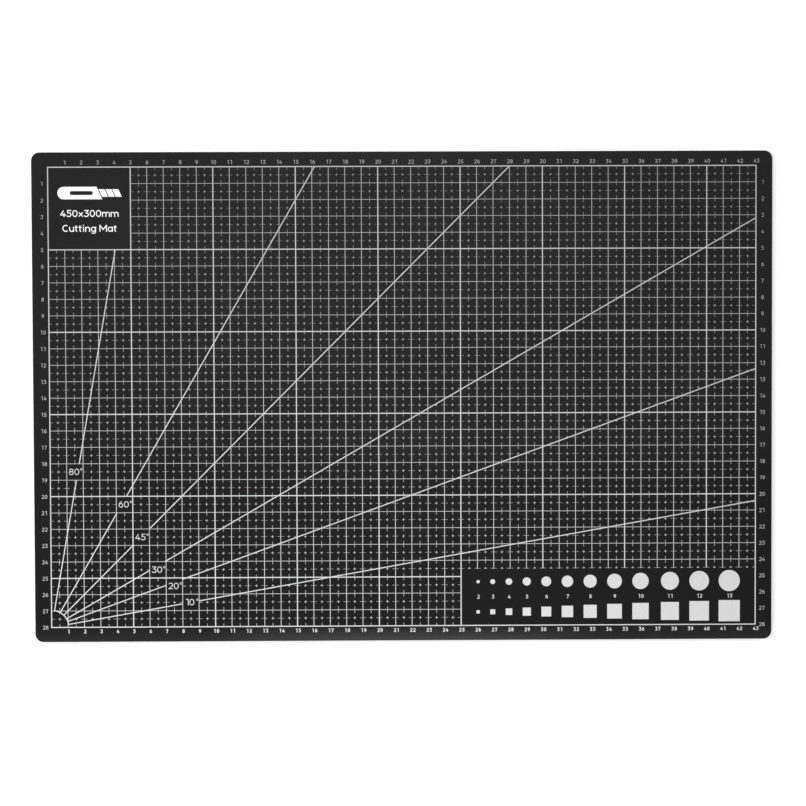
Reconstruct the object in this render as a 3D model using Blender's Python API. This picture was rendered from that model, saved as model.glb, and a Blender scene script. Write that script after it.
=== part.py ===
"""A self healing cutting mat: five bonded plies with a white measuring print on the top one.

Lengths are in metres. The origin is in the middle of the underside. +X runs along the long side, the way
the column numbers rise, +Y runs up the printed page, and +Z points out of the printed face.
"""

import math

import bmesh
import bpy
from mathutils import Matrix, Vector

MM = 0.001

# The sheet. The plies are listed from the underside up, and a thin bond line is left between them.
SHEET_WIDTH = 450 * MM
SHEET_DEPTH = 298 * MM
CORNER_RADIUS = 5 * MM
RIM_RADIUS = 0.3 * MM
BOND_LINE = 0.02 * MM
HEALING_THICKNESS = 0.85 * MM
BACKING_THICKNESS = 0.35 * MM
CORE_THICKNESS = 0.52 * MM

# The printed grid, centred on the sheet.
CELL = 10 * MM
GRID_COLUMNS = 43
GRID_ROWS = 28
HEAVY_EVERY = 5
HEAVY_LINE = 0.6 * MM
INK_THICKNESS = 0.03 * MM
INK_CLEARANCE = 0.01 * MM

# The template panel fills the lower right of the grid: columns 25 to 43, below row 24.5.
PANEL_LEFT = 25
PANEL_TOP = 24.5

# Angle rays start on a small arc about the grid's lower left corner. Each leaves one cell free for its
# number, named here by its left column and its upper row.
ANGLE_LINE = 0.58 * MM
ARC_RADIUS = 10.5 * MM
ARC_STEP = math.radians(5)
RAY_LABEL_CELLS = {80: (1, 18), 60: (4, 20), 45: (5, 22), 30: (6, 24), 20: (7, 25), 10: (8, 26)}
SHORTEST_RAY_ANGLE = 80
SHORTEST_RAY_END_ROW = 5

# Template shapes, one disc over one square for each size. All but two of the gaps between discs are even.
TEMPLATE_SIZES_MM = range(2, 14)
FIRST_TEMPLATE_COLUMN = 26.04
TEMPLATE_GAP = 6.42 * MM
UNEVEN_GAPS = {11: 7.5 * MM, 13: 5.9 * MM}
DISC_ROW = 25.32
SQUARE_ROW = 27.17
DISC_SEGMENTS = 48

# The emblem is a plain picture of a snap-off knife: a handle with a slide slot, and three blade segments.
EMBLEM_ROW = 1.565
EMBLEM_LEFT = 0.58
HANDLE_LENGTH = 25.5 * MM
HANDLE_HEIGHT = 7.6 * MM
SLOT_START = 7.5 * MM
SLOT_LENGTH = 14 * MM
SLOT_HEIGHT = 2.4 * MM
BLADE_HEIGHT = 4.6 * MM
BLADE_SEGMENTS = 3
SEGMENT_LENGTH = 3.6 * MM
SEGMENT_GAP = 0.55 * MM
BLADE_SLANT = 0.45

CORNER_SEGMENTS = 12
RIM_SEGMENTS = 3
END_SEGMENTS = 12

SHEET_THICKNESS = 2 * HEALING_THICKNESS + 2 * BACKING_THICKNESS + CORE_THICKNESS + 4 * BOND_LINE
INK_BASE = SHEET_THICKNESS + INK_CLEARANCE
INK_MIDDLE = INK_BASE + INK_THICKNESS / 2


def clear_scene():
    for existing in list(bpy.data.objects):
        bpy.data.objects.remove(existing)


def new_collection(name):
    collection = bpy.data.collections.new(name)
    bpy.context.scene.collection.children.link(collection)
    return collection


def new_material(name, colour, roughness):
    material = bpy.data.materials.new(name)
    material.use_nodes = True
    shader = material.node_tree.nodes["Principled BSDF"]
    shader.inputs["Base Color"].default_value = (*colour, 1)
    shader.inputs["Roughness"].default_value = roughness
    shader.inputs["Metallic"].default_value = 0
    material.diffuse_color = (*colour, 1)
    return material


def on_grid(column, row):
    """The point of the sheet at a column and row of the printed grid. Rows count down from its top."""
    return Vector(((column - GRID_COLUMNS / 2) * CELL, (GRID_ROWS / 2 - row) * CELL))


def add_object(name, data, collection, material):
    made = bpy.data.objects.new(name, data)
    data.materials.append(material)
    collection.objects.link(made)
    return made


def mesh_of(form, name):
    mesh = bpy.data.meshes.new(name)
    bmesh.ops.recalc_face_normals(form, faces=form.faces)
    form.to_mesh(mesh)
    form.free()
    return mesh


def block_form(width, depth, height):
    form = bmesh.new()
    bmesh.ops.create_cube(form, size=1)
    bmesh.ops.scale(form, vec=(width, depth, height), verts=form.verts)
    return form


def round_edges(form, edges, radius, segments):
    bmesh.ops.bevel(form, geom=edges, offset=radius, segments=segments, profile=0.5, affect="EDGES")


# Plies


def upright_edges(form):
    return [edge for edge in form.edges if edge.verts[0].co.xy == edge.verts[1].co.xy]


def rim_edges(form, side):
    """The outline's edges on the top (side 1) or on the underside (side -1) of a flat form."""
    level = side * max(vert.co.z for vert in form.verts)
    return [edge for edge in form.edges if all(vert.co.z == level for vert in edge.verts)]


def add_ply(name, base, thickness, material, collection, rounded_side=0):
    """One ply, with its free rim rounded where it is an outer one."""
    form = block_form(SHEET_WIDTH, SHEET_DEPTH, thickness)
    round_edges(form, upright_edges(form), CORNER_RADIUS, CORNER_SEGMENTS)
    if rounded_side:
        round_edges(form, rim_edges(form, rounded_side), RIM_RADIUS, RIM_SEGMENTS)
    ply = add_object(name, mesh_of(form, name), collection, material)
    ply.location.z = base + thickness / 2
    return ply


def add_plies(collection):
    vinyl = new_material("black_vinyl", (0.022, 0.022, 0.023), 0.55)
    backing = new_material("backing_vinyl", (0.045, 0.045, 0.047), 0.6)
    core = new_material("core_vinyl", (0.30, 0.31, 0.32), 0.5)
    stack = (
        ("bottom_healing_ply", HEALING_THICKNESS, vinyl, -1),
        ("lower_backing_ply", BACKING_THICKNESS, backing, 0),
        ("hard_core_ply", CORE_THICKNESS, core, 0),
        ("upper_backing_ply", BACKING_THICKNESS, backing, 0),
        ("top_healing_ply", HEALING_THICKNESS, vinyl, 1),
    )
    base = 0
    for name, thickness, material, rounded_side in stack:
        add_ply(name, base, thickness, material, collection, rounded_side)
        base += thickness + BOND_LINE


# Grid, rays and arc: strokes of ink that cross, joined into one film


def stroke_mesh(start, end, width):
    """A straight stroke of ink between two points of the sheet."""
    along = end - start
    form = block_form(along.length, width, INK_THICKNESS)
    middle = (start + end) / 2
    turn = Matrix.Rotation(math.atan2(along.y, along.x), 4, "Z")
    place = Matrix.Translation((*middle, INK_MIDDLE)) @ turn
    bmesh.ops.transform(form, matrix=place, verts=form.verts)
    return mesh_of(form, "stroke")


def arc_mesh():
    """The arc that joins the rays' inner ends: a rectangle turned about the grid's lower left corner."""
    lowest = math.radians(min(RAY_LABEL_CELLS))
    sweep = math.radians(max(RAY_LABEL_CELLS)) - lowest
    corner = on_grid(0, GRID_ROWS)
    form = bmesh.new()
    ends = (ARC_RADIUS - ANGLE_LINE / 2, ARC_RADIUS + ANGLE_LINE / 2)
    levels = (INK_BASE, INK_BASE + INK_THICKNESS)
    corners = ((ends[0], levels[0]), (ends[1], levels[0]), (ends[1], levels[1]), (ends[0], levels[1]))
    place = Matrix.Translation((*corner, 0)) @ Matrix.Rotation(lowest, 4, "Z")
    section = [form.verts.new(place @ Vector((radius, 0, level))) for radius, level in corners]
    face = form.faces.new(section)
    bmesh.ops.spin(
        form,
        geom=[face, *face.edges, *face.verts],
        cent=(*corner, 0),
        axis=(0, 0, 1),
        angle=sweep,
        steps=round(sweep / ARC_STEP),
    )
    return mesh_of(form, "arc")


def heavy_strokes():
    """The border and every fifth line. Right of PANEL_LEFT the lines stop at the template panel."""
    strokes = []
    half = HEAVY_LINE / 2
    for column in [*range(0, GRID_COLUMNS, HEAVY_EVERY), GRID_COLUMNS]:
        crosses_panel = PANEL_LEFT < column < GRID_COLUMNS
        top = on_grid(column, 0) + Vector((0, half))
        bottom = on_grid(column, GRID_ROWS) - Vector((0, half))
        if crosses_panel:
            bottom = on_grid(column, PANEL_TOP)
        strokes.append((top, bottom, HEAVY_LINE))
    for row in [*range(0, GRID_ROWS, HEAVY_EVERY), GRID_ROWS]:
        right = PANEL_LEFT if PANEL_TOP < row < GRID_ROWS else GRID_COLUMNS
        strokes.append((on_grid(0, row), on_grid(right, row), HEAVY_LINE))
    return strokes


def ray_point(angle, column=None, row=None):
    """Where the ray at this angle crosses a column line or a row line of the grid."""
    slope = math.tan(math.radians(angle))
    if row is None:
        row = GRID_ROWS - column * slope
    else:
        column = (GRID_ROWS - row) / slope
    return on_grid(column, row)


def box_crossings(angle, left, right, top, bottom):
    """The two points, nearest the corner first, where a ray enters and leaves a box of grid cells."""
    origin = on_grid(0, GRID_ROWS)
    sides = [ray_point(angle, row=row) for row in (top, bottom)]
    sides += [ray_point(angle, column=column) for column in (left, right)]
    sides.sort(key=lambda point: (point - origin).length)
    return sides[1], sides[2]


def ray_strokes():
    """Each ray in two strokes, before and after the cell that holds its number."""
    origin = on_grid(0, GRID_ROWS)
    strokes = []
    for angle, (left, top) in RAY_LABEL_CELLS.items():
        heading = Vector((math.cos(math.radians(angle)), math.sin(math.radians(angle))))
        start = origin + heading * (ARC_RADIUS - ANGLE_LINE / 2)
        enters, leaves = box_crossings(angle, left, left + 1, top, top + 1)
        end_row = SHORTEST_RAY_END_ROW if angle == SHORTEST_RAY_ANGLE else 0
        end = min(
            ray_point(angle, row=end_row),
            ray_point(angle, column=GRID_COLUMNS),
            key=lambda point: (point - origin).length,
        )
        strokes += [(start, enters, ANGLE_LINE), (leaves, end, ANGLE_LINE)]
    return strokes


def add_grid_print(collection, helpers, ink):
    meshes = [stroke_mesh(*stroke) for stroke in heavy_strokes() + ray_strokes()]
    meshes.append(arc_mesh())
    grid = add_object("grid_print", meshes[0], collection, ink)
    for number, mesh in enumerate(meshes[1:]):
        helper = add_object(f"stroke_{number}", mesh, helpers, ink)
        helper.hide_render = True
        helper.display_type = "WIRE"
    union = grid.modifiers.new("join_strokes", "BOOLEAN")
    union.operation = "UNION"
    union.solver = "EXACT"
    union.operand_type = "COLLECTION"
    union.collection = helpers
    return grid


# Template shapes


def template_places():
    """(size, column) for each template shape. A gap is measured from edge to edge of neighbouring discs."""
    column = FIRST_TEMPLATE_COLUMN
    places = []
    for number in TEMPLATE_SIZES_MM:
        size = number * MM
        if places:
            gap = UNEVEN_GAPS.get(number, TEMPLATE_GAP)
            column += (places[-1][0] / 2 + gap + size / 2) / CELL
        places.append((size, column))
    return places


def add_template_prints(collection, ink):
    for number, (size, column) in zip(TEMPLATE_SIZES_MM, template_places()):
        disc = bmesh.new()
        bmesh.ops.create_cone(
            disc,
            cap_ends=True,
            segments=DISC_SEGMENTS,
            radius1=size / 2,
            radius2=size / 2,
            depth=INK_THICKNESS,
        )
        name = f"disc_print_{number}mm"
        made = add_object(name, mesh_of(disc, name), collection, ink)
        made.location = (*on_grid(column, DISC_ROW), INK_MIDDLE)

        name = f"square_print_{number}mm"
        made = add_object(name, mesh_of(block_form(size, size, INK_THICKNESS), name), collection, ink)
        made.location = (*on_grid(column, SQUARE_ROW), INK_MIDDLE)


# Emblem


def add_outline_print(name, outlines, collection, ink):
    """A film of ink bounded by closed outlines, the first one outside and any others as holes in it."""
    curve = bpy.data.curves.new(name, "CURVE")
    curve.dimensions = "2D"
    curve.fill_mode = "BOTH"
    curve.extrude = INK_THICKNESS / 2
    for outline in outlines:
        spline = curve.splines.new("POLY")
        spline.points.add(len(outline) - 1)
        for point, (x, y) in zip(spline.points, outline):
            point.co = (x, y, 0, 1)
        spline.use_cyclic_u = True
    made = add_object(name, curve, collection, ink)
    made.location.z = INK_MIDDLE
    return made


def half_round(centre, middle, radius, first_angle):
    """The points of a half circle that starts at first_angle, in degrees."""
    angles = [math.radians(first_angle + 180 * step / END_SEGMENTS) for step in range(END_SEGMENTS + 1)]
    return [(centre + radius * math.cos(angle), middle + radius * math.sin(angle)) for angle in angles]


def slanted_side(x, middle, half_height):
    """The lower and the upper end of a side that leans back by BLADE_SLANT, and crosses y = middle at x."""
    lean = BLADE_SLANT * half_height
    return [(x + lean, middle - half_height), (x - lean, middle + half_height)]


def add_emblem(collection, ink):
    left, middle = on_grid(EMBLEM_LEFT, EMBLEM_ROW)
    radius = HANDLE_HEIGHT / 2
    blade_start = left + HANDLE_LENGTH
    handle = slanted_side(blade_start, middle, radius) + half_round(left + radius, middle, radius, 90)
    slot_left = left + SLOT_START
    slot_radius = SLOT_HEIGHT / 2
    slot = half_round(slot_left + SLOT_LENGTH - slot_radius, middle, slot_radius, -90)
    slot += half_round(slot_left + slot_radius, middle, slot_radius, 90)
    add_outline_print("emblem_handle_print", [handle, slot], collection, ink)

    for number in range(1, BLADE_SEGMENTS + 1):
        near = blade_start + number * SEGMENT_GAP + (number - 1) * SEGMENT_LENGTH
        near_side = slanted_side(near, middle, BLADE_HEIGHT / 2)
        far_side = slanted_side(near + SEGMENT_LENGTH, middle, BLADE_HEIGHT / 2)
        outline = near_side[::-1] + far_side
        add_outline_print(f"emblem_blade_print_{number}", [outline], collection, ink)


def main():
    clear_scene()
    mat = new_collection("self_healing_mat")
    helpers = new_collection("print_strokes")
    ink = new_material("white_ink", (0.69, 0.69, 0.69), 0.5)
    add_plies(mat)
    add_grid_print(mat, helpers, ink)
    add_template_prints(mat, ink)
    add_emblem(mat, ink)


main()
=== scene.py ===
"""The looks of the self healing mat: grained vinyl plies, and the whole white print as thin films of ink.

Lengths are in metres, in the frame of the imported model. The print is drawn in columns and rows of its own
grid, with rows counting down from the top edge, and every film is the union of straight or bent strokes.
"""

import math

import bpy
from mathutils import Euler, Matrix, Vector


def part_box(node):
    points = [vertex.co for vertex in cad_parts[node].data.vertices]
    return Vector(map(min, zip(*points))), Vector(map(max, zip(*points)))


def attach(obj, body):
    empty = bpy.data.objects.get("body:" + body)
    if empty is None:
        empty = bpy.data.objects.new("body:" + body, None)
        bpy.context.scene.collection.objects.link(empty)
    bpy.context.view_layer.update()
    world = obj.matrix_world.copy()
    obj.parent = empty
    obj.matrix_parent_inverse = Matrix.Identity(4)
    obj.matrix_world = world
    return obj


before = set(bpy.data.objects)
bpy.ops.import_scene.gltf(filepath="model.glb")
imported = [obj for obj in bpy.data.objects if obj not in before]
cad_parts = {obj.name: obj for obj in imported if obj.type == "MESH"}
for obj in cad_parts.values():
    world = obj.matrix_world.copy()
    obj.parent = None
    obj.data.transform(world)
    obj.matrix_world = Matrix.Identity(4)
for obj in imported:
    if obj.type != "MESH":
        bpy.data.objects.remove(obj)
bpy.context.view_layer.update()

MM = 0.001
TINY = 1e-6

# The printed grid, read off the frame's own grid print.
COLUMNS = 43
ROWS = 28
HEAVY_EVERY = 5
HEAVY_LINE = 0.6 * MM
GRID_LOW, GRID_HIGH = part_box("grid_print")
CELL = (GRID_HIGH.x - GRID_LOW.x - HEAVY_LINE) / COLUMNS
GRID_LEFT = GRID_LOW.x + HEAVY_LINE / 2
GRID_TOP = GRID_HIGH.y - HEAVY_LINE / 2
INK_BASE = GRID_LOW.z
INK_TOP = GRID_HIGH.z

# Line work. Upright lines are a little heavier than level ones. Broken lines run half-way between the whole
# centimetres, as a long dash on each line that they cross and a short one in the middle of each square.
UPRIGHT_LINE = 0.36 * MM
LEVEL_LINE = 0.28 * MM
UPRIGHT_DASH = 0.225 * MM
LEVEL_DASH = 0.14 * MM
MIDDLE_DASH = 0.28 * MM
LONG_DASH = 0.4
SHORT_DASH = 0.16
FINE_FILM = 0.024 * MM
BROKEN_FILM = 0.018 * MM

# Areas that the lines leave free, in columns and rows. Each angle number has the cell with this left column
# and this upper row.
LABEL_BOX = 5
PANEL_LEFT = 25
PANEL_TOP = 24.53
RAY_LABEL_CELLS = {80: (1, 18), 60: (4, 20), 45: (5, 22), 30: (6, 24), 20: (7, 25), 10: (8, 26)}

# Numbers and lettering. Gaps and the pitch of figures are fractions of the height. LABEL_LINES holds each
# line of the label with the row of its middle.
NUMBER_HEIGHT = 2.35 * MM
UPPER_STROKE = 0.28 * MM
LOWER_STROKE = 0.48 * MM
LEFT_STROKE = 0.26 * MM
RIGHT_STROKE = 0.22 * MM
TEMPLATE_STROKE = 0.38 * MM
ANGLE_HEIGHT = 3.9 * MM
ANGLE_STROKE = 0.45 * MM
ANGLE_STRETCH = 1.15
DEGREE_STROKE = 0.28 * MM
LABEL_HEIGHT = 4.2 * MM
LABEL_STROKE = 0.56 * MM
LABEL_STRETCH = 1.16
LABEL_COLUMN = 2.515
LABEL_LINES = (("450x300mm", 2.8), ("Cutting Mat", 3.7))
LETTER_GAP = 0.12
WORD_GAP = 0.38
FIGURE_PITCH = 0.8

# Where the middle of each number stands, in columns and rows: a ruler number from the end of its own line,
# and an angle number from the upper left corner of its own cell.
UPPER_NUMBER = (0.03, -0.28)
LOWER_NUMBER = (0.04, 0.26)
LEFT_NUMBER = (-0.37, 0.01)
RIGHT_NUMBER = (0.41, 0.01)
ANGLE_NUMBER = (0.45, 0.49)
DEGREE_SIGN = (0.89, 0.47)
TEMPLATE_NUMBER_SHIFT = 0.2 * MM

ARC_STEP = 15
SHARPEST_MITRE = 2.2

# Vinyl. Spans along Y over which it deepens and then pales, and distances from the middle of the sheet.
# The deepening is painted shade, and the paling is a painted sheen.
GRAIN_SCALE = 3200
PAINTED_SHADE_BLACK = 0.002
NEARER_THIRD = (-30 * MM, -50 * MM)
NEAR_MARGIN = (-139.5 * MM, -147.5 * MM)
SIDES_REACHED = 200 * MM
PAINTED_SHEEN_PATCH = (32 * MM, 118 * MM)

# Ink. The span along X over which painted shade darkens it, and how much of its strength is left at the end
# of it.
RIGHT_SHADE_SPAN = (40 * MM, 200 * MM)
RIGHT_SHADED_STRENGTH = 0.87

# Studio. The name, place, side and power of each softbox, and a camera that looks down on the mat. Its
# place, and its angles in degrees, came from a least-squares fit of this lens to a real mat's grid.
SOFTBOXES = (
    ("softbox_left", (-2.1, 0.2, 1.5), 1.3, 38),
    ("softbox_right", (2.2, 0.8, 1.7), 1.6, 20),
    ("softbox_back", (-0.3, 2.4, 1.6), 1.6, 24),
    ("softbox_front", (-0.8, -2.3, 1.6), 1.6, 24),
    ("softbox_above", (0, 0.3, 2.4), 0.5, 7),
)
WORLD_STRENGTH = 0.3
FLOOR_SIDE = 80
FLOOR_LEVEL = -0.02 * MM
LENS = 100
CAMERA_PLACE = (-0.0139, 0.0451, 1.3658)
CAMERA_ANGLES = (-2.051, -0.587, -0.203)


# Glyphs. Each is a width, as a fraction of its height, and its strokes. A stroke is a centre line in a unit
# box, which is inset by half a stroke to fit the glyph, and a word. The word names the ends that run on by
# half the stroke's width, or "closed" joins the last point to the first.


def arc(x, y, radius_x, radius_y, start, end):
    """Points along an ellipse between two angles in degrees."""
    count = max(2, round(abs(end - start) / ARC_STEP))
    angles = [math.radians(start + (end - start) * step / count) for step in range(count + 1)]
    return [(x + radius_x * math.cos(angle), y + radius_y * math.sin(angle)) for angle in angles]


def loop(x, y, radius_x, radius_y):
    return (arc(x, y, radius_x, radius_y, 0, 360)[:-1], "closed")


X_HEIGHT = 0.68
GLYPHS = {
    "0": (0.66, [loop(0.5, 0.5, 0.5, 0.5)]),
    "1": (0.36, [([(0, 1), (1, 1), (1, 0)], "both")]),
    "2": (
        0.60,
        [
            (arc(0.5, 0.7, 0.5, 0.3, 160, -35) + [(0, 0)], "none"),
            ([(0, 0), (1, 0)], "both"),
        ],
    ),
    "3": (
        0.60,
        [
            ([(0.05, 1), (0.95, 1)], "both"),
            ([(0.93, 1), (0.42, 0.59)], "none"),
            (arc(0.42, 0.3, 0.58, 0.3, 105, -155), "none"),
        ],
    ),
    "4": (
        0.68,
        [
            ([(0.62, 1), (0, 0.27)], "none"),
            ([(0, 0.27), (1, 0.27)], "both"),
            ([(0.72, 0.56), (0.72, 0)], "end"),
        ],
    ),
    "5": (
        0.60,
        [
            ([(0.93, 1), (0.16, 1), (0.1, 0.58)], "start"),
            ([(0.1, 0.58)] + arc(0.42, 0.31, 0.58, 0.31, 105, -155), "none"),
        ],
    ),
    "6": (0.62, [loop(0.5, 0.32, 0.5, 0.32), (arc(0.95, 0.32, 0.95, 0.68, 180, 100), "none")]),
    "7": (0.60, [([(0, 1), (1, 1)], "both"), ([(0.95, 1), (0.35, 0)], "end")]),
    "8": (0.62, [loop(0.5, 0.76, 0.42, 0.24), loop(0.5, 0.27, 0.5, 0.27)]),
    "9": (0.62, [loop(0.5, 0.68, 0.5, 0.32), (arc(0.05, 0.68, 0.95, 0.68, 0, -80), "none")]),
    "°": (0.34, [loop(0.5, 0.85, 0.5, 0.15)]),
    "x": (0.60, [([(0, 0), (1, X_HEIGHT)], "none"), ([(0, X_HEIGHT), (1, 0)], "none")]),
    "m": (
        0.98,
        [
            ([(0, 0), (0, X_HEIGHT)], "both"),
            (arc(0.25, 0.43, 0.25, 0.25, 180, 0) + [(0.5, 0)], "end"),
            (arc(0.75, 0.43, 0.25, 0.25, 180, 0) + [(1, 0)], "end"),
        ],
    ),
    "n": (
        0.60,
        [
            ([(0, 0), (0, X_HEIGHT)], "both"),
            (arc(0.5, 0.38, 0.5, 0.3, 180, 0) + [(1, 0)], "end"),
        ],
    ),
    "u": (
        0.60,
        [
            ([(1, 0), (1, X_HEIGHT)], "both"),
            ([(0, X_HEIGHT)] + arc(0.5, 0.3, 0.5, 0.3, 180, 360), "start"),
        ],
    ),
    "i": (0.22, [([(0.5, 0), (0.5, X_HEIGHT)], "both"), ([(0.5, 1), (0.5, 1.02)], "both")]),
    "t": (
        0.38,
        [
            ([(0.35, 0.9)] + arc(0.85, 0.2, 0.5, 0.2, 180, 275), "start"),
            ([(0, X_HEIGHT), (0.95, X_HEIGHT)], "both"),
        ],
    ),
    "g": (
        0.64,
        [
            loop(0.48, 0.34, 0.48, 0.34),
            ([(1, X_HEIGHT)] + arc(0.5, -0.06, 0.5, 0.26, 0, -145), "start"),
        ],
    ),
    "a": (0.64, [loop(0.48, 0.34, 0.48, 0.34), ([(1, X_HEIGHT), (1, 0)], "both")]),
    "C": (0.74, [(arc(0.55, 0.5, 0.55, 0.5, 48, 312), "none")]),
    "M": (
        0.92,
        [
            ([(0, 0), (0, 1)], "both"),
            ([(1, 0), (1, 1)], "both"),
            ([(0, 1), (0.5, 0.3), (1, 1)], "none"),
        ],
    ),
}


# Strokes of ink


def on_grid(column, row):
    return Vector((GRID_LEFT + column * CELL, GRID_TOP - row * CELL))


class Layer:
    """Strokes that don't touch each other, gathered into one mesh between two heights."""

    def __init__(self, base, top):
        self.levels = (base, top)
        self.points = []
        self.faces = []

    def add(self, line, width, ends="none"):
        """A stroke along a line of points, with mitred bends. Its ends are as GLYPHS says."""
        closed = ends == "closed"
        line = [Vector(point) for point in line]
        if ends in ("both", "start"):
            line[0] = line[0] - (line[1] - line[0]).normalized() * width / 2
        if ends in ("both", "end"):
            line[-1] = line[-1] + (line[-1] - line[-2]).normalized() * width / 2
        count = len(line)
        first = len(self.points)
        for number, point in enumerate(line):
            before = line[number - 1] if number or closed else None
            after = line[(number + 1) % count] if number < count - 1 or closed else None
            outgoing = (after - point).normalized() if after is not None else None
            incoming = (point - before).normalized() if before is not None else outgoing
            outgoing = outgoing or incoming
            heading = (incoming + outgoing).normalized()
            mitre = min(1 / max(heading.dot(outgoing), TINY), SHARPEST_MITRE)
            side = Vector((-heading.y, heading.x)) * mitre * width / 2
            for level in self.levels:
                self.points += [(*(point + side), level), (*(point - side), level)]
        for number in range(count if closed else count - 1):
            near = first + 4 * number
            far = first + 4 * ((number + 1) % count)
            self.faces += [
                (near, far, far + 1, near + 1),
                (near + 2, near + 3, far + 3, far + 2),
                (near, near + 2, far + 2, far),
                (near + 1, far + 1, far + 3, near + 3),
            ]
        if not closed:
            last = first + 4 * (count - 1)
            self.faces += [(first, first + 1, first + 3, first + 2), (last, last + 2, last + 3, last + 1)]

    def made(self, name):
        mesh = bpy.data.meshes.new(name)
        mesh.from_pydata(self.points, [], self.faces)
        mesh.update()
        return mesh


def film(name, layers, material):
    """One film of ink, the union of its layers, as a piece that rides with the mat."""
    layers = [layer for layer in layers if layer.points]
    piece = bpy.data.objects.new(name, layers[0].made(name))
    bpy.context.scene.collection.objects.link(piece)
    helpers = []
    for number, layer in enumerate(layers[1:]):
        helper = bpy.data.objects.new(f"{name}_layer_{number}", layer.made(f"{name}_layer_{number}"))
        bpy.context.scene.collection.objects.link(helper)
        helpers.append(helper)
        union = piece.modifiers.new("union", "BOOLEAN")
        union.operation = "UNION"
        union.solver = "MANIFOLD"
        union.object = helper
    graph = bpy.context.evaluated_depsgraph_get()
    joined = bpy.data.meshes.new_from_object(piece.evaluated_get(graph))
    piece.modifiers.clear()
    piece.data = joined
    joined.name = name
    for helper in helpers:
        bpy.data.objects.remove(helper)
    joined.materials.clear()
    joined.materials.append(material)
    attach(piece, "root")
    return piece


def without(span, blanks):
    """The parts of a span that lie outside every blank."""
    parts = [span]
    for low, high in blanks:
        kept = []
        for start, end in parts:
            kept.append((start, min(end, low)))
            kept.append((max(start, high), end))
        parts = [(start, end) for start, end in kept if end - start > TINY]
    return parts


def column_blanks(column):
    """The row spans that a line along this column leaves free."""
    blanks = []
    if column < LABEL_BOX:
        blanks.append((0, LABEL_BOX))
    if column > PANEL_LEFT:
        blanks.append((PANEL_TOP, ROWS))
    blanks += [(top, top + 1) for left, top in RAY_LABEL_CELLS.values() if left < column < left + 1]
    return blanks


def row_blanks(row):
    """The column spans that a line along this row leaves free."""
    blanks = []
    if row < LABEL_BOX:
        blanks.append((0, LABEL_BOX))
    if row > PANEL_TOP:
        blanks.append((PANEL_LEFT, COLUMNS))
    blanks += [(left, left + 1) for left, top in RAY_LABEL_CELLS.values() if top < row < top + 1]
    return blanks


def dashes(length):
    """The dashes of a broken line of this many squares: long on whole numbers and short between them."""
    long_half, short_half = LONG_DASH / 2, SHORT_DASH / 2
    spans = [(max(0, mark - long_half), min(length, mark + long_half)) for mark in range(length + 1)]
    spans += [(mark + 0.5 - short_half, mark + 0.5 + short_half) for mark in range(length)]
    return spans


def add_fine_lines(ink):
    top = INK_BASE + FINE_FILM
    upright, level = Layer(INK_BASE, top), Layer(INK_BASE, top)
    for column in range(1, COLUMNS):
        if column % HEAVY_EVERY:
            for start, end in without((0, ROWS), column_blanks(column)):
                upright.add([on_grid(column, start), on_grid(column, end)], UPRIGHT_LINE)
    for row in range(1, ROWS):
        if row % HEAVY_EVERY:
            for start, end in without((0, COLUMNS), row_blanks(row)):
                level.add([on_grid(start, row), on_grid(end, row)], LEVEL_LINE)
    return film("centimetre_lines", [upright, level], ink)


def dash_width(start, end, long_width):
    """The width of a dash. A halved long dash is meant to keep the long width, but rounding gives the middle
    width to eight of them beside the angle numbers."""
    is_middle = int(start) == int(end) and end - start < LONG_DASH / 2
    return MIDDLE_DASH if is_middle else long_width


def add_broken_lines(ink):
    top = INK_BASE + BROKEN_FILM
    upright, level = Layer(INK_BASE, top), Layer(INK_BASE, top)
    for column in range(COLUMNS):
        for dash in dashes(ROWS):
            for start, end in without(dash, column_blanks(column + 0.5)):
                width = dash_width(start, end, UPRIGHT_DASH)
                upright.add([on_grid(column + 0.5, start), on_grid(column + 0.5, end)], width)
    for row in range(ROWS):
        for dash in dashes(COLUMNS):
            for start, end in without(dash, row_blanks(row + 0.5)):
                width = dash_width(start, end, LEVEL_DASH)
                level.add([on_grid(start, row + 0.5), on_grid(end, row + 0.5)], width)
    return film("half_centimetre_lines", [upright, level], ink)


# Numbers and lettering


def text_width(text, height, stretch):
    """The width of a line of text, in metres."""
    widths = [GLYPHS[letter][0] * stretch if letter in GLYPHS else WORD_GAP - LETTER_GAP for letter in text]
    return (sum(widths) + LETTER_GAP * (len(text) - 1)) * height


def write(layers, text, centre, height, stroke, stretch=1.0):
    """Adds a line of text, centred on a point. A glyph's first stroke goes to the first layer, and so on."""
    left = centre.x - text_width(text, height, stretch) / 2
    base = centre.y - height / 2
    for letter in text:
        if letter not in GLYPHS:
            left += WORD_GAP * height
            continue
        width = GLYPHS[letter][0] * stretch * height
        add_glyph(layers, letter, Vector((left, base)), width, height, stroke)
        left += width + LETTER_GAP * height


def add_glyph(layers, letter, corner, width, height, stroke):
    for layer, (points, ends) in zip(layers, GLYPHS[letter][1]):
        across = width - stroke
        up = height - stroke
        inset = corner + Vector((stroke, stroke)) / 2
        layer.add([inset + Vector((x * across, y * up)) for x, y in points], stroke, ends)


def write_figures(layers, number, centre, height, stroke):
    """Adds a number whose figures all stand at the same pitch."""
    figures = str(number)
    pitch = FIGURE_PITCH * height
    for place, figure in enumerate(figures):
        middle = centre.x + (place - (len(figures) - 1) / 2) * pitch
        width = GLYPHS[figure][0] * height
        add_glyph(layers, figure, Vector((middle - width / 2, centre.y - height / 2)), width, height, stroke)


def add_numbers(name, numbers, stroke, ink):
    """A film of small numbers. numbers holds (number, centre) pairs."""
    layers = [Layer(INK_BASE, INK_TOP) for _ in range(3)]
    for number, centre in numbers:
        write_figures(layers, number, centre, NUMBER_HEIGHT, stroke)
    return film(name, layers, ink)


def shifted(column, row, shift):
    return on_grid(column + shift[0], row + shift[1])


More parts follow.
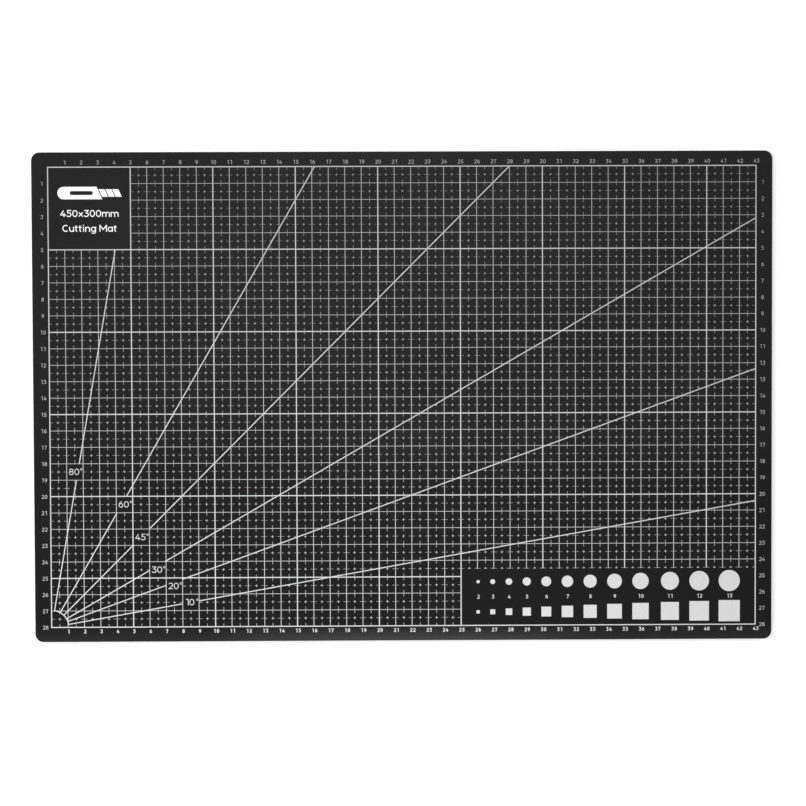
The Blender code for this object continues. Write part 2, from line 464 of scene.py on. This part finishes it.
def add_ruler_numbers(ink):
    columns = range(1, COLUMNS + 1)
    rows = range(1, ROWS + 1)
    upper = [(column, shifted(column, 0, UPPER_NUMBER)) for column in columns]
    lower = [(column, shifted(column, ROWS, LOWER_NUMBER)) for column in columns]
    left = [(row, shifted(0, row, LEFT_NUMBER)) for row in rows]
    right = [(row, shifted(COLUMNS, row, RIGHT_NUMBER)) for row in rows]
    add_numbers("upper_column_numbers", upper, UPPER_STROKE, ink)
    add_numbers("lower_column_numbers", lower, LOWER_STROKE, ink)
    add_numbers("left_row_numbers", left, LEFT_STROKE, ink)
    add_numbers("right_row_numbers", right, RIGHT_STROKE, ink)


def add_angle_numbers(ink):
    layers = [Layer(INK_BASE, INK_TOP) for _ in range(3)]
    for angle, (left, top) in RAY_LABEL_CELLS.items():
        middle = shifted(left, top, ANGLE_NUMBER)
        write(layers, str(angle), middle, ANGLE_HEIGHT, ANGLE_STROKE, ANGLE_STRETCH)
        middle = shifted(left, top, DEGREE_SIGN)
        write(layers, "°", middle, ANGLE_HEIGHT, DEGREE_STROKE)
    return film("angle_numbers", layers, ink)


def middle_of(node):
    low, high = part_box(node)
    return (low + high) / 2


def add_template_numbers(ink):
    numbers = []
    for size in range(2, 14):
        disc, square = middle_of(f"disc_print_{size}mm"), middle_of(f"square_print_{size}mm")
        numbers.append((size, ((disc + square) / 2).xy + Vector((TEMPLATE_NUMBER_SHIFT, 0))))
    add_numbers("template_numbers", numbers, TEMPLATE_STROKE, ink)


def add_label_lettering(ink):
    layers = [Layer(INK_BASE, INK_TOP) for _ in range(3)]
    for text, row in LABEL_LINES:
        write(layers, text, on_grid(LABEL_COLUMN, row), LABEL_HEIGHT, LABEL_STROKE, LABEL_STRETCH)
    return film("label_lettering", layers, ink)


# Materials


def new_material(name, roughness, specular):
    material = bpy.data.materials.new(name)
    material.use_nodes = True
    shader = material.node_tree.nodes["Principled BSDF"]
    shader.inputs["Roughness"].default_value = roughness
    shader.inputs["Specular IOR Level"].default_value = specular
    return material, material.node_tree, shader


def noise(tree, scale, detail):
    node = tree.nodes.new("ShaderNodeTexNoise")
    node.inputs["Scale"].default_value = scale
    node.inputs["Detail"].default_value = detail
    tree.links.new(tree.nodes.new("ShaderNodeTexCoord").outputs["Object"], node.inputs["Vector"])
    return node.outputs["Fac"]


def spread(tree, value, low, high, to_low, to_high):
    """Maps a value from one range to another."""
    node = tree.nodes.new("ShaderNodeMapRange")
    for socket, number in zip(("From Min", "From Max", "To Min", "To Max"), (low, high, to_low, to_high)):
        node.inputs[socket].default_value = number
    tree.links.new(value, node.inputs["Value"])
    return node.outputs["Result"]


def multiply(tree, value, other):
    node = tree.nodes.new("ShaderNodeMath")
    node.operation = "MULTIPLY"
    tree.links.new(value, node.inputs[0])
    tree.links.new(other, node.inputs[1])
    return node.outputs["Value"]


def tint(tree, factor, first, second):
    """A grey between two brightnesses. first may also be a colour that comes from another node."""
    node = tree.nodes.new("ShaderNodeMix")
    node.data_type = "RGBA"
    if isinstance(first, bpy.types.NodeSocket):
        tree.links.new(first, node.inputs["A"])
    else:
        node.inputs["A"].default_value = (first, first, first, 1)
    node.inputs["B"].default_value = (second, second, second, 1)
    tree.links.new(factor, node.inputs["Factor"])
    return node.outputs["Result"]


def position(tree):
    """The X, Y and Z outputs of a shaded point's place on the mat."""
    node = tree.nodes.new("ShaderNodeSeparateXYZ")
    tree.links.new(tree.nodes.new("ShaderNodeTexCoord").outputs["Object"], node.inputs["Vector"])
    return node.outputs


def bump(tree, height, distance, normal=None):
    node = tree.nodes.new("ShaderNodeBump")
    node.inputs["Distance"].default_value = distance
    tree.links.new(height, node.inputs["Height"])
    if normal is not None:
        tree.links.new(normal, node.inputs["Normal"])
    return node.outputs["Normal"]


def vinyl_material():
    """Black vinyl with a fine pebbled grain, uneven in colour and sheen. Painted shade makes it a deeper
    black towards the short sides and in its nearer third, and a painted sheen makes it paler in the middle
    of the near margin."""
    material, tree, shader = new_material("grained_vinyl", 0.42, 0.17)
    broad = spread(tree, noise(tree, 9, 3), 0.35, 0.65, 0, 1)
    black = tint(tree, broad, 0.005, 0.009)
    speckle = spread(tree, noise(tree, GRAIN_SCALE, 3), 0.4, 0.6, 0, 0.35)
    speckled = tint(tree, speckle, black, 0.016)
    place = position(tree)
    offset_squared = multiply(tree, place["X"], place["X"])
    # Painted shade: a deeper black towards the short sides.
    deeper = tint(tree, spread(tree, offset_squared, 0, SIDES_REACHED**2, 0, 0.42), speckled, PAINTED_SHADE_BLACK)
    # Painted shade: a deeper black in the nearer third.
    shaded_black = tint(tree, spread(tree, place["Y"], *NEARER_THIRD, 0, 0.5), deeper, PAINTED_SHADE_BLACK)
    # Painted sheen: a paler grey in the middle of the near margin.
    margin_sheen_mask = spread(tree, place["Y"], *NEAR_MARGIN, 0, 1)
    middle = spread(tree, offset_squared, PAINTED_SHEEN_PATCH[0] ** 2, PAINTED_SHEEN_PATCH[1] ** 2, 1, 0.28)
    colour = tint(tree, multiply(tree, margin_sheen_mask, middle), shaded_black, 0.042)
    tree.links.new(colour, shader.inputs["Base Color"])
    sheen = spread(tree, noise(tree, 600, 2), 0.3, 0.7, 0.38, 0.46)
    tree.links.new(sheen, shader.inputs["Roughness"])
    ripple = bump(tree, noise(tree, 25, 1), 0.06 * MM)
    grain = bump(tree, noise(tree, GRAIN_SCALE, 3), 0.08 * MM, ripple)
    tree.links.new(grain, shader.inputs["Normal"])
    return material


def cut_ply_material(name, dark, light, roughness):
    """A ply's die-cut edge, with fine drag marks."""
    material, tree, shader = new_material(name, roughness, 0.35)
    streaks = noise(tree, 1800, 2)
    tree.links.new(tint(tree, streaks, dark, light), shader.inputs["Base Color"])
    tree.links.new(bump(tree, streaks, 0.03 * MM), shader.inputs["Normal"])
    return material


def ink_material(name, white, upper_cover):
    """Screen-printed ink that lies over the grain. It is patchy and fades towards the top, and painted shade
    darkens it towards the right.
    """
    material, tree, shader = new_material(name, 0.55, 0.3)
    place = position(tree)
    upward = spread(tree, place["Y"], GRID_LOW.y, GRID_HIGH.y, 1, upper_cover)
    # Painted shade: the ink darkens towards the right.
    right_shade = spread(tree, place["X"], *RIGHT_SHADE_SPAN, 1, RIGHT_SHADED_STRENGTH)
    patches = spread(tree, noise(tree, 700, 3), 0.3, 0.6, 0.94, 1)
    cover_and_shade = multiply(tree, multiply(tree, upward, right_shade), patches)
    colour = tint(tree, cover_and_shade, 0.02, white)
    tree.links.new(colour, shader.inputs["Base Color"])
    tree.links.new(bump(tree, noise(tree, GRAIN_SCALE, 3), 0.015 * MM), shader.inputs["Normal"])
    return material


def floor_material():
    """A white table that glows a little, so that it stays plain white."""
    material, _, shader = new_material("white_table", 0.7, 0.2)
    shader.inputs["Base Color"].default_value = (0.92, 0.92, 0.92, 1)
    shader.inputs["Emission Color"].default_value = (1, 1, 1, 1)
    shader.inputs["Emission Strength"].default_value = 0.2
    return material


def dress_nodes(vinyl, heavy_ink, label_ink):
    backing = cut_ply_material("backing_ply_edge", 0.03, 0.05, 0.6)
    core = cut_ply_material("core_ply_edge", 0.24, 0.35, 0.5)
    for name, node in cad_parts.items():
        if "healing" in name:
            finish = vinyl
        elif "backing" in name:
            finish = backing
        elif "core" in name:
            finish = core
        elif "emblem" in name:
            finish = label_ink
        else:
            finish = heavy_ink
        node.data.materials.clear()
        node.data.materials.append(finish)


# Studio


def add_floor(material):
    bpy.ops.mesh.primitive_plane_add(size=FLOOR_SIDE, location=(0, 0, FLOOR_LEVEL))
    floor = bpy.context.object
    floor.name = "floor"
    floor.data.materials.append(material)


def add_softbox(name, place, side, power):
    """A square lamp that faces the middle of the mat."""
    light = bpy.data.lights.new(name, "AREA")
    light.shape = "SQUARE"
    light.size = side
    light.energy = power
    lamp = bpy.data.objects.new(name, light)
    lamp.location = place
    lamp.rotation_euler = (-Vector(place)).to_track_quat("-Z", "Y").to_euler()
    bpy.context.scene.collection.objects.link(lamp)


def add_world(strength):
    world = bpy.data.worlds.new("studio")
    world.use_nodes = True
    background = world.node_tree.nodes["Background"]
    background.inputs["Color"].default_value = (1, 1, 1, 1)
    background.inputs["Strength"].default_value = strength
    bpy.context.scene.world = world


def add_camera():
    data = bpy.data.cameras.new("camera")
    data.lens = LENS
    camera = bpy.data.objects.new("camera", data)
    camera.location = CAMERA_PLACE
    camera.rotation_euler = Euler(math.radians(angle) for angle in CAMERA_ANGLES)
    bpy.context.scene.collection.objects.link(camera)
    bpy.context.scene.camera = camera


def build():
    heavy_ink = ink_material("heavy_line_ink", 0.74, 0.67)
    fine_ink = ink_material("fine_line_ink", 0.7, 0.53)
    dash_ink = ink_material("dash_ink", 0.66, 0.37)
    label_ink = ink_material("label_ink", 0.92, 0.98)
    dress_nodes(vinyl_material(), heavy_ink, label_ink)
    add_fine_lines(fine_ink)
    add_broken_lines(dash_ink)
    add_ruler_numbers(fine_ink)
    add_angle_numbers(heavy_ink)
    add_template_numbers(heavy_ink)
    add_label_lettering(label_ink)
    add_floor(floor_material())
    for softbox in SOFTBOXES:
        add_softbox(*softbox)
    add_world(WORLD_STRENGTH)
    add_camera()
    bpy.context.scene.view_settings.view_transform = "Standard"


build()
